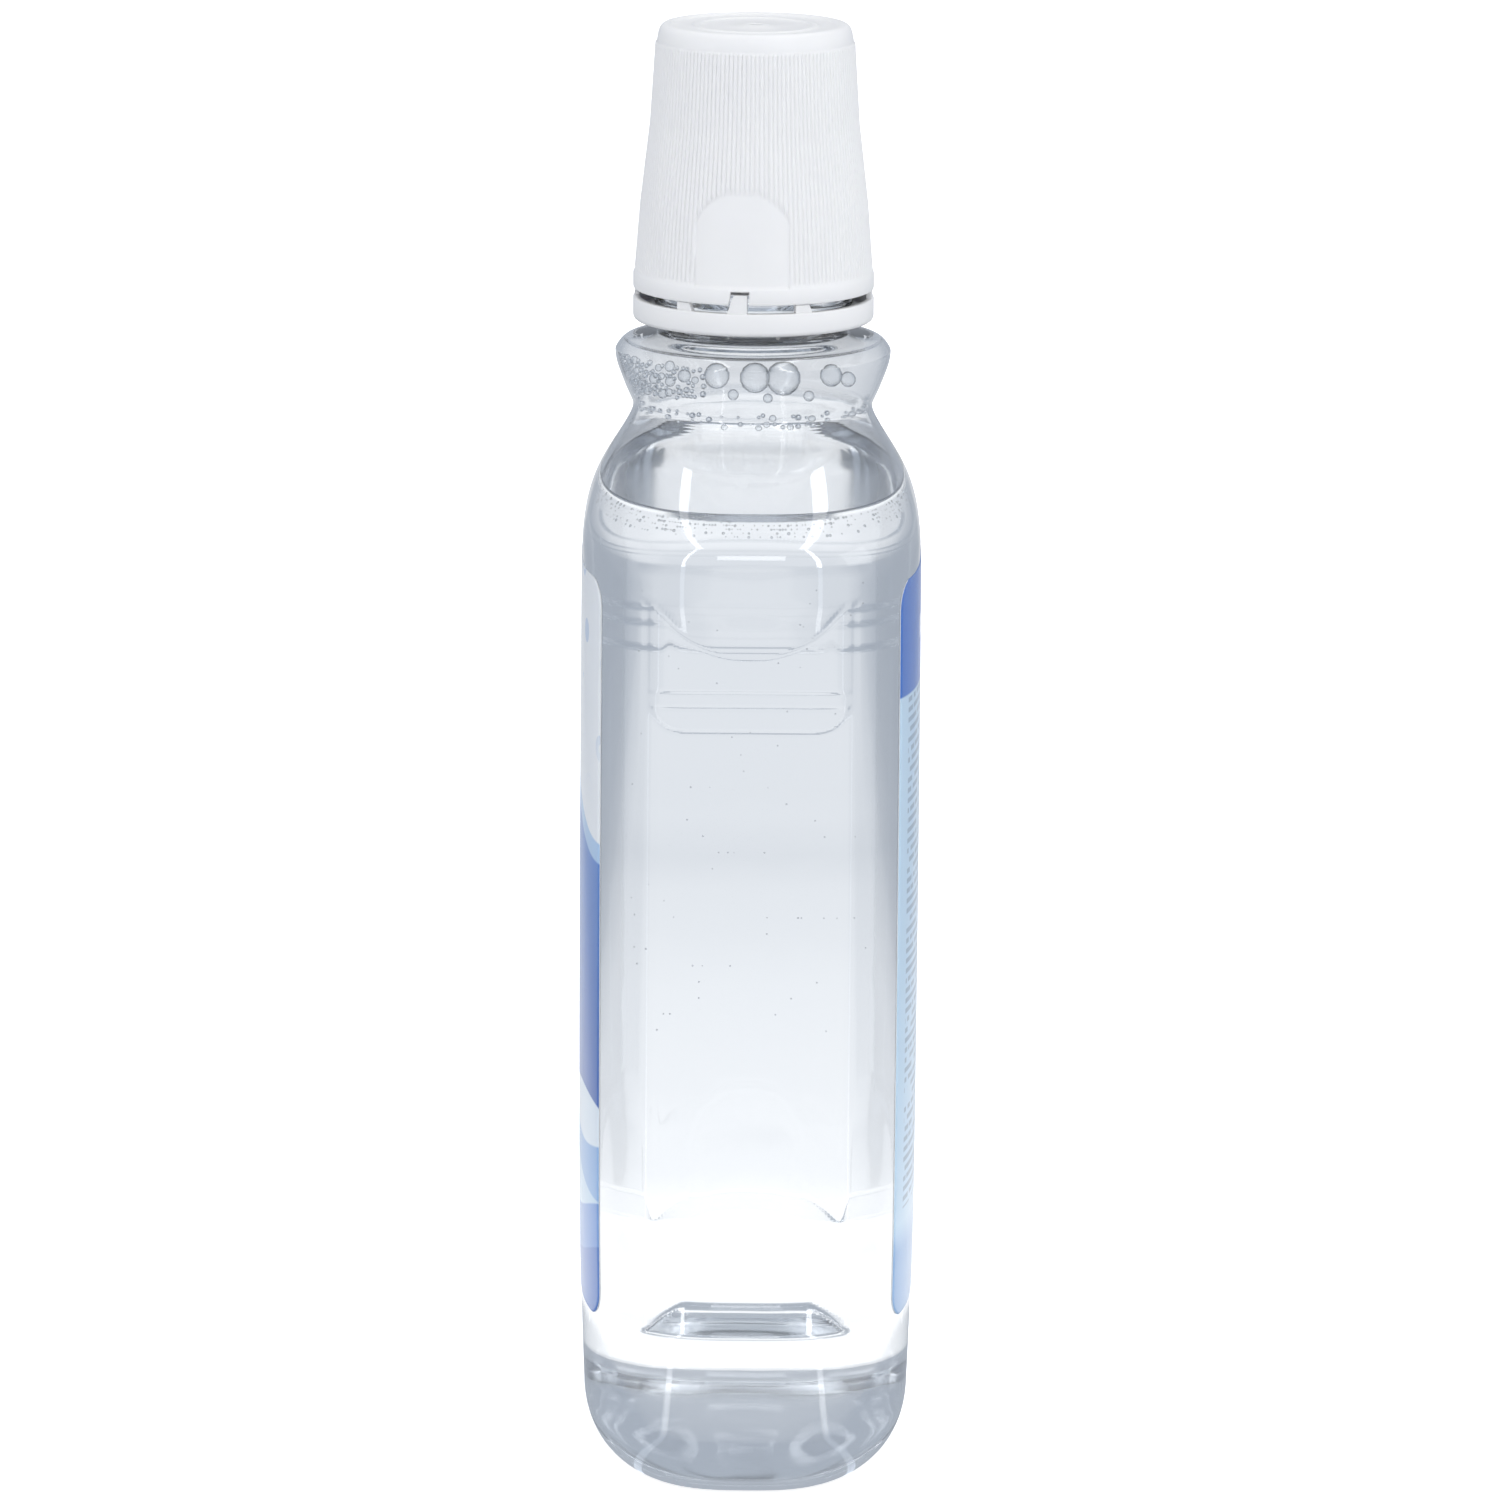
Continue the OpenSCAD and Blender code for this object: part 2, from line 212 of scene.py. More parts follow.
# Light of the studio: on the table by distance from the bottle's edge and from its middle line in
# millimetres, and in the air by degrees round from the back and up from the level
STUDIO_LEVEL = 1.2
STRIP_ANGLE = 31
STRIP_DISTANCE = 1.3
# Strength of the painted reflections of the strip lamps on the table
STRIP_PAINTED_REFLECTION = 1.8
TABLE_EDGE = 42
# The table's light is painted. The lowest stops are a painted shadow under and just behind the bottle, and
# the rest is a painted falloff away from the bottle and towards the table's sides
TABLE_AWAY = [
    (-42, 0.06), (26, 0.04), (34, 1), (90, 1), (105, 0.82), (117, 0.72), (170, 0.66), (245, 0.62),
    (280, 0.57), (320, 0.53), (350, 0.44), (385, 0.5), (470, 0.5), (700, 0.46),
]
TABLE_ASIDE = [(0, 1), (25, 1), (50, 0.9), (107, 0.87), (140, 0.62), (153, 0.42), (184, 0.22), (254, 0.08)]
SIDE_AIR = [(0, 0.05), (40, 0.05), (75, 0.6), (120, 0.6), (145, 0.15), (180, 0.1)]
HIGH_AIR = [(-90, 0), (25, 0.03), (60, 0.45), (90, 0.3)]


def clamp01(u):
    return np.clip(u, 0.0, 1.0)


def ease(u):
    u = clamp01(u)
    return u * u * (3 - 2 * u)


# Rise of the shoulder down from the waist
def rise(u):
    return np.sin(np.pi / 2 * clamp01(u)) ** SHOULDER_POWER


# How far the broad faces lie inside the full depth: barrelled, and drawn in towards the heel
def barrel(z):
    span = WAIST_Z / 2 - HEEL_RADIUS
    bow = BODY_BARREL * ((np.minimum(z, FACE_Z) - WAIST_Z / 2) / span) ** 2
    return bow + BASE_TAPER * clamp01((TAPER_Z - z) / (TAPER_Z - HEEL_RADIUS)) ** 2


# Half width, half depth and squareness of the body at a height
def wide(z):
    return WAIST_R + (HALF_W - WAIST_R) * rise((WAIST_Z - z) / SHOULDER_SIDE)


def deep(z):
    return WAIST_R + (HALF_D - barrel(z) - WAIST_R) * rise((WAIST_Z - z) / SHOULDER_FACE)


def square_at(z):
    return 2 + (BODY_SQUARE - 2) * ease((WAIST_Z - z) / SHOULDER_SIDE)


# Depth of the recess's floor: the panel, then a step with round corners up to the grip and its two creases
def recess_floor(y, z):
    dy = np.maximum(np.abs(y) - (STEP_HALF - STEP_CORNER), 0)
    dz = np.maximum((GRIP_LOW + STEP_CORNER) - z, 0)
    below = 1 - ease((STEP_CORNER - np.hypot(dy, dz) + STEP_MARGIN) / STEP_RUN)
    crease = sum(ease((at - z) / STEP_RUN) * CREASE_SHARE for at in CREASES)
    return GRIP_DEPTH + (PANEL_DEPTH - GRIP_DEPTH) * (below + (1 - below) * crease)


# The flat floor cuts the body's curve with rounded long edges, and the end slopes follow the curve
def sunk(x, y, z):
    over = np.abs(x) - (HALF_W - recess_floor(y, z))
    near = clamp01(0.5 + over / (2 * RECESS_EDGE))
    cut = near * over + RECESS_EDGE * near * (1 - near)
    foot = PANEL_DEPTH * clamp01((z - PANEL_LOW) / PANEL_SLOPE)
    rest = FOOT_CUT + ease((z - PANEL_LOW - PANEL_SLOPE) / FOOT_RUN)
    head = GRIP_DEPTH * ease((HEAD_TOP - z) / (HEAD_TOP - GRIP_FLAT))
    head = head + HEAD_RELEASE * ease((GRIP_FLAT - z) / HEAD_RUN)
    return np.sign(x) * (np.abs(x) - np.minimum(np.minimum(cut, foot), np.minimum(rest, head)))


# One closed outline of the body, with half sizes a and b and squareness n
def outline(a, b, n, z, recessed=False):
    c, s = np.cos(TURN), np.sin(TURN)
    k = (np.abs(c) ** n + np.abs(s) ** n) ** (-1 / n)
    x, y = k * a * c, k * b * s
    if recessed:
        x = sunk(x, y, z)
    return np.stack([x, y, np.full(COLUMNS, float(z))], 1)


def circle(r, z):
    return np.stack([r * np.cos(TURN), r * np.sin(TURN), np.full(COLUMNS, float(z))], 1)


# Rings of a turned piece from its line of radii and heights
def lathe(line):
    return [circle(r, z) for r, z in line]


# Points along a smooth line through the given ones
def smooth_line(points, steps):
    p = [np.array(q, float) for q in points]
    p = [2 * p[0] - p[1]] + p + [2 * p[-1] - p[-2]]
    line = []
    for i in range(1, len(p) - 2):
        for t in np.arange(steps) / steps:
            bend = 2 * p[i - 1] - 5 * p[i] + 4 * p[i + 1] - p[i + 2]
            twist = 3 * p[i] - p[i - 1] - 3 * p[i + 1] + p[i + 2]
            line.append(0.5 * (2 * p[i] + (p[i + 1] - p[i - 1]) * t + bend * t * t + twist * t**3))
    line.append(p[-2])
    return line


# Faces of a closed mesh all look outward
def turn_outward(mesh):
    n = len(mesh.polygons)
    centre = np.zeros(n * 3)
    normal = np.zeros(n * 3)
    area = np.zeros(n)
    mesh.polygons.foreach_get("center", centre)
    mesh.polygons.foreach_get("normal", normal)
    mesh.polygons.foreach_get("area", area)
    volume = (centre.reshape(-1, 3) * normal.reshape(-1, 3)).sum(1) @ area
    if volume < 0:
        mesh.flip_normals()


def mesh_piece(name, verts, faces):
    mesh = bpy.data.meshes.new(name)
    mesh.from_pydata((np.array(verts) * MM).tolist(), [], faces)
    mesh.validate()
    piece = bpy.data.objects.new(name, mesh)
    bpy.context.scene.collection.objects.link(piece)
    turn_outward(mesh)
    mesh.polygons.foreach_set("use_smooth", [True] * len(mesh.polygons))
    return piece


# Piece from a stack of closed outlines with equal numbers of points, closed by a point at each end
def skin(name, rings, closed_loop=False):
    rings = np.array(rings)
    m, n, _ = rings.shape
    verts = rings.reshape(-1, 3)
    index = np.arange(m * n).reshape(m, n)
    faces = []
    for k in range(m if closed_loop else m - 1):
        a, b = index[k], index[(k + 1) % m]
        faces += np.stack([a, np.roll(a, -1), np.roll(b, -1), b], 1).tolist()
    if not closed_loop:
        verts = np.concatenate([verts, [rings[0].mean(0), rings[-1].mean(0)]])
        a, b, first, last = index[0], index[-1], m * n, m * n + 1
        faces += [[int(q), int(p), first] for p, q in zip(a, np.roll(a, -1))]
        faces += [[int(p), int(q), last] for p, q in zip(b, np.roll(b, -1))]
    return mesh_piece(name, verts, faces)


# Linear colour of a hex tone
def tone(hex_colour):
    parts = [int(hex_colour[i : i + 2], 16) / 255 for i in (1, 3, 5)]
    return [p / 12.92 if p <= 0.04045 else ((p + 0.055) / 1.055) ** 2.4 for p in parts] + [1.0]


# Links the inputs that are outputs of other nodes, and sets the rest to their number or hex tone
def feed(tree, node, inputs):
    pairs = inputs.items() if isinstance(inputs, dict) else enumerate(inputs)
    for socket, source in pairs:
        if isinstance(source, bpy.types.NodeSocket):
            tree.links.new(source, node.inputs[socket])
        else:
            node.inputs[socket].default_value = tone(source) if isinstance(source, str) else source


# Adds a node with its settings and links, and gives the output that is wanted, or the node if out is None
def add(tree, kind, inputs=(), out=0, **settings):
    node = tree.nodes.new("ShaderNode" + kind)
    for key, setting in settings.items():
        setattr(node, key, setting)
    feed(tree, node, inputs)
    return node if out is None else node.outputs[out]


# Noise scale that gives features of a size in millimetres
def grain(size_mm):
    return 1 / (size_mm * MM)


def start_material(name):
    material = bpy.data.materials.new(name)
    material.use_nodes = True
    tree = material.node_tree
    tree.nodes.clear()
    shader = add(tree, "BsdfPrincipled", out=None)
    add(tree, "OutputMaterial", {"Surface": shader.outputs[0]}, out=None)
    return material, tree, shader, add(tree, "TexCoord", out="Object")


# Stretch blown PET: water clear and glossy, with the faint waviness of a thin blown wall
def blown_pet():
    material, tree, shader, place = start_material("stretch_blown_clear_pet")
    haze = add(tree, "TexNoise", {"Vector": place, "Scale": grain(30)}, out="Fac")
    waves = add(tree, "TexNoise", {"Vector": place, "Scale": grain(9), "Detail": 1.0}, out="Fac")
    feed(tree, shader, {
        "Base Color": "#FDFEFF",
        "Transmission Weight": 1.0,
        "IOR": 1.57,
        "Roughness": add(tree, "MapRange", {"Value": haze, "To Min": 0.0, "To Max": 0.03}),
        "Normal": add(tree, "Bump", {"Height": waves, "Distance": 0.05 * MM}, out="Normal"),
    })
    return material


# Water with flavour and soap: clear, with the least blue in it, and a film of soap that blurs its surface
def clear_rinse():
    material, tree, shader, place = start_material("clear_water_rinse")
    height = add(tree, "SeparateXYZ", {"Vector": place}, out="Z")
    cloud = add(tree, "TexNoise", {"Vector": place, "Scale": grain(60)}, out="Fac")
    film = {"Value": height, "From Min": (FILL_Z - 0.1) * MM, "From Max": FILL_Z * MM, "To Max": 0.16}
    feed(tree, shader, {
        "Base Color": add(tree, "Mix", {0: cloud, 6: "#FFFFFF", 7: "#FBFDFF"}, out=2, data_type="RGBA"),
        "Transmission Weight": 1.0,
        "IOR": 1.333,
        "Roughness": add(tree, "MapRange", film),
    })
    return material


# Injection moulded polypropylene: white with a soft satin and a little light inside it. The mould's grit is
# finer than 0.1 mm and is drawn at 0.6 mm, so that it shows at all
def moulded_pp():
    material, tree, shader, place = start_material("injection_moulded_white_polypropylene")
    flow = add(tree, "TexNoise", {"Vector": place, "Scale": grain(14), "Detail": 3.0}, out="Fac")
    satin = add(tree, "TexNoise", {"Vector": place, "Scale": grain(3)}, out="Fac")
    grit = add(tree, "TexNoise", {"Vector": place, "Scale": grain(0.6)}, out="Fac")
    feed(tree, shader, {
        "Base Color": add(tree, "Mix", {0: flow, 6: "#F1F0F0", 7: "#F8F7F6"}, out=2, data_type="RGBA"),
        "IOR": 1.49,
        "Subsurface Weight": 0.12,
        "Subsurface Radius": (0.0012, 0.0012, 0.0014),
        "Subsurface Scale": 1.0,
        "Roughness": add(tree, "MapRange", {"Value": satin, "To Min": 0.34, "To Max": 0.46}),
        "Normal": add(tree, "Bump", {"Height": grit, "Distance": 0.01 * MM}, out="Normal"),
    })
    return material


# Foamed polyethylene liner: soft, matt and a little blue
def foam_liner():
    material, tree, shader, place = start_material("foamed_polyethylene_liner")
    cells = add(tree, "TexNoise", {"Vector": place, "Scale": grain(1.2)}, out="Fac")
    pores = add(tree, "TexNoise", {"Vector": place, "Scale": grain(0.4)}, out="Fac")
    feed(tree, shader, {
        "Base Color": add(tree, "Mix", {0: cells, 6: "#DCE3E8", 7: "#EEF2F5"}, out=2, data_type="RGBA"),
        "Roughness": 0.7,
        "Normal": add(tree, "Bump", {"Height": pores, "Distance": 0.03 * MM}, out="Normal"),
    })
    return material


WHITE_PP = moulded_pp()
CLEAR_PET = blown_pet()
RINSE = clear_rinse()
LINER = foam_liner()


def dress(piece, body, slot, material, *nodes):
    piece.data.materials.clear()
    piece.data.materials.append(material)
    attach(piece, body)
    if nodes:
        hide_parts(*nodes)
    return piece


# Rings of the body from the middle of the base up to the waist
def body_rings():
    rings = []
    hollow = HEEL_RADIUS + STANDING_WIDTH
    a, b = HALF_W - hollow, deep(HEEL_RADIUS) - hollow
    for share, lift in smooth_line(DOME, 5):
        rings.append(outline(a * share, b * share, 2 + share * (BODY_SQUARE - 2), PUSH_UP * max(lift, 0.0)))
    for t in np.linspace(0, np.pi / 2, 25)[:-1]:
        inset = HEEL_RADIUS * (1 - np.sin(t))
        a, b = HALF_W - inset, deep(HEEL_RADIUS) - inset
        rings.append(outline(a, b, BODY_SQUARE, HEEL_RADIUS * (1 - np.cos(t))))
    for z in np.concatenate([np.arange(*row) for row in BODY_ROWS]):
        rings.append(outline(wide(z), deep(z), square_at(z), z, recessed=True))
    return rings


def collar_rings():
    line = [
        (WAIST_R, WAIST_Z + 0.15),
        (WAIST_R + 0.35, WAIST_Z + 1.2),
        (WAIST_R + 0.9, WAIST_Z + 2.3),
        (WAIST_R + 1.75, WAIST_Z + 4.4),
        (COLLAR_R - 0.3, COLLAR_Z - 1.6),
        (COLLAR_R, COLLAR_Z),
        (COLLAR_R - 0.15, COLLAR_Z + 0.8),
        (COLLAR_R - 1.15, COLLAR_Z + 2),
        (COLLAR_R - 2.6, COLLAR_Z + 2.5),
        (NECK_R + 1.2, NECK_Z),
        (NECK_R + 0.3, NECK_Z + 0.4),
        (NECK_R, NECK_Z + 1.1),
    ]
    return lathe(smooth_line(line, 5))


# Rings between two heights, each drawn towards its neighbours a number of times
def softened(rings, low_z, high_z, times):
    height = rings[:, 0, 2]
    for _ in range(times):
        mid = rings.copy()
        mid[1:-1] = (rings[:-2] + 2 * rings[1:-1] + rings[2:]) / 4
        pick = (height > low_z) & (height < high_z)
        pick[0] = pick[-1] = False
        rings[pick] = mid[pick]
    return rings


# Direction that the surface faces at each point of a stack of rings
def outward(rings):
    along = np.roll(rings, -1, 1) - np.roll(rings, 1, 1)
    up = np.empty_like(rings)
    up[1:-1] = rings[2:] - rings[:-2]
    up[0], up[-1] = rings[1] - rings[0], rings[-1] - rings[-2]
    normal = np.cross(along, up)
    return normal / np.maximum(np.linalg.norm(normal, axis=2, keepdims=True), 1e-9)


OUTSIDE = softened(np.array(body_rings() + collar_rings()), WAIST_Z - 4, WAIST_Z + 3, 10)
OUTSIDE_NORMAL = outward(OUTSIDE)


# Share of the thread's height on the neck at each column of a ring: a right-handed ridge with run-outs
def thread_share(turn, z):
    share = np.zeros_like(turn)
    for lap in range(math.ceil(THREAD_TURNS)):
        along = turn + 2 * np.pi * lap
        left = 2 * np.pi * THREAD_TURNS - along
        ends = np.minimum(clamp01(along / THREAD_RUN_OUT), clamp01(left / THREAD_RUN_OUT))
        off = np.abs(z - THREAD_LOW - THREAD_PITCH * along / (2 * np.pi))
        share = np.maximum(share, clamp01((THREAD_HALF - off) / THREAD_FLANK) * ends)
    return share


# The clear wall: outside up to the neck, the bead, the threaded finish, the bore, and back down inside
def bottle_shell():
    neck = [
        (NECK_R, NECK_Z + 2),
        (NECK_R, BEAD_Z - 0.6),
        (NECK_R + 0.1, BEAD_Z - 0.1),
        (BEAD_R - 0.3, BEAD_Z),
    ]
    bead = smooth_line(neck, 3)
    bead += [
        (BEAD_R, BEAD_Z + 0.3),
        (BEAD_R, BEAD_Z + 0.8),
        (BEAD_R - 0.4, BEAD_Z + 1.1),
        (FINISH_R + 0.3, BEAD_Z + 1.8),
        (FINISH_R, BEAD_Z + 2.6),
    ]
    thread_rows = np.arange(BEAD_Z + 3.4, LIP_Z - 0.7, 0.22)
    thread = [circle(FINISH_R + (THREAD_R - FINISH_R) * thread_share(TURN, z), z) for z in thread_rows]
    lip_and_bore = [
        (FINISH_R, LIP_Z - 0.6),
        (FINISH_R - 0.15, LIP_Z - 0.2),
        (FINISH_R - 0.5, LIP_Z),
        (BORE_R + 0.3, LIP_Z),
        (BORE_R, LIP_Z - 0.3),
        (BORE_R, NECK_Z + 4),
        (BORE_R + 0.1, NECK_Z + 2),
        (BORE_R + 0.7, NECK_Z + 0.6),
        (NECK_R - 0.2, NECK_Z - 0.55),
    ]
    wall = BODY_WALL + BASE_EXTRA_WALL * clamp01((BASE_EXTRA_Z - OUTSIDE[..., 2:3]) / BASE_EXTRA_RUN)
    below_neck = OUTSIDE[:, 0, 2] < COLLAR_Z + 2.2
    inside = (OUTSIDE - OUTSIDE_NORMAL * wall)[below_neck][::-1]
    return skin("clear_bottle", list(OUTSIDE) + lathe(bead) + thread + lathe(lip_and_bore) + list(inside))


# Small balls as one set of points and faces; hollow ones look inward
def balls(centres, radii, hollow=False, rings=7, columns=12):
    lat = np.linspace(0, np.pi, rings + 1)[1:-1]
    lon = np.arange(columns) * 2 * np.pi / columns
    one = [(math.sin(a) * math.cos(b), math.sin(a) * math.sin(b), -math.cos(a)) for a in lat for b in lon]
    one = np.array([(0, 0, -1)] + one + [(0, 0, 1)])
    last = len(one) - 1
    shape = []
    for b in range(columns):
        c = (b + 1) % columns
        shape.append([0, 1 + c, 1 + b])
        shape.append([last, last - columns + b, last - columns + c])
        for a in range(rings - 2):
            low, high = 1 + a * columns, 1 + (a + 1) * columns
            shape.append([low + b, low + c, high + c, high + b])
    if hollow:
        shape = [q[::-1] for q in shape]
    verts, faces = [], []
    for centre, r in zip(centres, radii):
        start = len(verts) * len(one)
        verts.append(np.array(centre) + one * r)
        faces += [[start + v for v in q] for q in shape]
    return np.concatenate(verts), faces


# Places that keep their distance from each other, thrown at random
def scattered(rng, count, draw, tries=12, gap=0.01):
    centres, radii = [], []
    for _ in range(count * tries):
        centre, r = draw(rng)
        apart = [np.linalg.norm(centre - c) - r - q for c, q in zip(centres, radii)]
        if not apart or min(apart) > gap:
            centres.append(centre)
            radii.append(r)
        if len(centres) == count:
            break
    return centres, radii


# A place just inside the wall of the body above the heel, at an angle in degrees round the bottle
def by_wall(degrees, z, inset, first_row=40):
    low_rows = np.arange(len(OUTSIDE)) < first_row
    row = int(np.argmin(np.abs(OUTSIDE[:, 0, 2] - z) + 99 * low_rows))
    column = int(round(degrees / 360 * COLUMNS)) % COLUMNS
    return OUTSIDE[row, column] - OUTSIDE_NORMAL[row, column] * (BODY_WALL + inset)


# Fine gas bubbles on the wall: many along the edge of the surface, some further down
def edge_bubble(rng):
    r = 0.09 + 0.16 * rng.random() ** 2
    return by_wall(rng.uniform(-75, 75), FILL_Z + 1.9 - 1.9 * rng.random() ** 2, r + 0.03), r


def low_bubble(rng):
    r = 0.07 + 0.07 * rng.random()
    return by_wall(rng.uniform(-38, 38), rng.uniform(70, FILL_Z - 3), r + 0.03), r


# The rinse reaches a little into the wall, so that no film of air shows between them
def rinse_fill():
    soak = OUTSIDE - OUTSIDE_NORMAL * RINSE_INSET
    soak[..., 2] = np.maximum(soak[..., 2], RINSE_INSET)
    edge_z = FILL_Z + MENISCUS
    rings = list(soak[OUTSIDE[:, 0, 2] < edge_z - 0.4])
    for inset in SURFACE_STEPS:
        w = RINSE_INSET + inset
        z = FILL_Z + MENISCUS * math.exp(-inset / MENISCUS_REACH)
        rings.append(outline(wide(edge_z) - w, deep(edge_z) - w, square_at(edge_z), z))
    fill = skin("clear_rinse", rings)
    rng = np.random.default_rng(11)
    edge = scattered(rng, EDGE_BUBBLES, edge_bubble)
    low = scattered(rng, LOW_BUBBLES, low_bubble)
    verts, faces = balls(edge[0] + low[0], edge[1] + low[1], hollow=True, rings=5, columns=8)
    gas = bpy.data.meshes.new("gas_bubbles")
    gas.from_pydata((verts * MM).tolist(), [], faces)
    gas.polygons.foreach_set("use_smooth", [True] * len(gas.polygons))
    joined = bmesh.new()
    joined.from_mesh(fill.data)
    joined.from_mesh(gas)
    joined.to_mesh(fill.data)
    joined.free()
    return fill


# Small bubbles of the foam: crowded at one side under the collar, and a line of them in the waist
def foam_bubble(rng):
    degrees = rng.uniform(-88, -22)
    r = 0.3 + 0.75 * rng.random() ** 2
    front = math.cos(math.radians(degrees))
    return by_wall(degrees, rng.uniform(157.6 + 2.2 * front, 163.6 + 1.2 * front), r + 0.02), r


def waist_bubble(rng):
    r = 0.22 + 0.35 * rng.random() ** 2
    return by_wall(rng.uniform(-85, 85), rng.uniform(155.9, 157.2), r + 0.02), r


# Soap foam: balls of rinse, and in those that are large enough an air space that leaves a thin film
def soap_foam():
    rng = np.random.default_rng(23)
    centres = [by_wall(degrees, z, r + 0.02) for degrees, z, r in LARGE_BUBBLES]
    radii = [r for _, _, r in LARGE_BUBBLES]
    for count, draw in ((FOAM_BUBBLES, foam_bubble), (WAIST_BUBBLES, waist_bubble)):
        more = scattered(rng, count, draw)
        centres += more[0]
        radii += more[1]
    skins, faces = balls(centres, radii)
    hollow = [k for k, r in enumerate(radii) if r > 0.5]
    films, inner = balls([centres[k] for k in hollow], [0.95 * radii[k] - 0.03 for k in hollow], hollow=True)
    faces += [[v + len(skins) for v in q] for q in inner]
    return mesh_piece("soap_foam", np.concatenate([skins, films]), faces)


dress(bottle_shell(), "bottle", "clear_pet", CLEAR_PET, "bottle")
dress(rinse_fill(), "bottle", "clear_liquid", RINSE, "mouthwash")
dress(soap_foam(), "bottle", "clear_liquid", RINSE)


# Cap wall line from the rim to the top band, as radius and height above the cap's lower edge
RIB_LINE = [
    (CAP_R - 0.2, RIB_LOW), (CAP_R - 0.98, 12.7), (CAP_TOP_R + 0.6, CAP_HEIGHT - 14.3),
    (CAP_TOP_R, CAP_HEIGHT - 4.7), (CAP_TOP_R - 0.13, RIB_HIGH),
]
CAP_COLUMNS = RIB_COUNT * 8
CAP_TURN = np.arange(CAP_COLUMNS) * 2 * np.pi / CAP_COLUMNS


def wall_r(h):
    return float(np.interp(h, [q[1] for q in RIB_LINE], [q[0] for q in RIB_LINE]))


def cap_ring(r, h):
    r = np.broadcast_to(r, CAP_COLUMNS)
    return np.stack([r * np.cos(CAP_TURN), r * np.sin(CAP_TURN), np.full(CAP_COLUMNS, CAP_Z + h)], 1)


# Share of a rib left at a height of the wall: none on the two smooth arch patches
def rib_share(h):
    share = np.ones(CAP_COLUMNS)
    for middle in (TAB_ANGLE, TAB_ANGLE + 180):
        off = (CAP_TURN - math.radians(middle) + np.pi) % (2 * np.pi) - np.pi
        side = np.where(np.abs(off) < 1.2, wall_r(h) * np.sin(off), 99)
        arc = ARCH_WIDTH / 2 + ARCH_MARGIN
        top = ARCH_HEIGHT - arc + np.sqrt(np.maximum(arc**2 - side**2, 0))
        inside = (np.abs(side) < ARCH_WIDTH / 2) & (h < top)
        share = np.where(inside, 0, share)
    return share


# Height of the ribs round the wall, from 0 in a groove to 1 on a crest, run out at both ends
def rib_wave(h):
    phase = (CAP_TURN * RIB_COUNT / (2 * np.pi)) % 1
    groove = np.clip(np.abs(phase - 0.5) * 2.6 - 0.55, 0, 1)
    ends = min(clamp01((h - RIB_LOW) / RIB_END), clamp01((RIB_HIGH - h) / RIB_END))
    return 1 - ease(groove) * ends


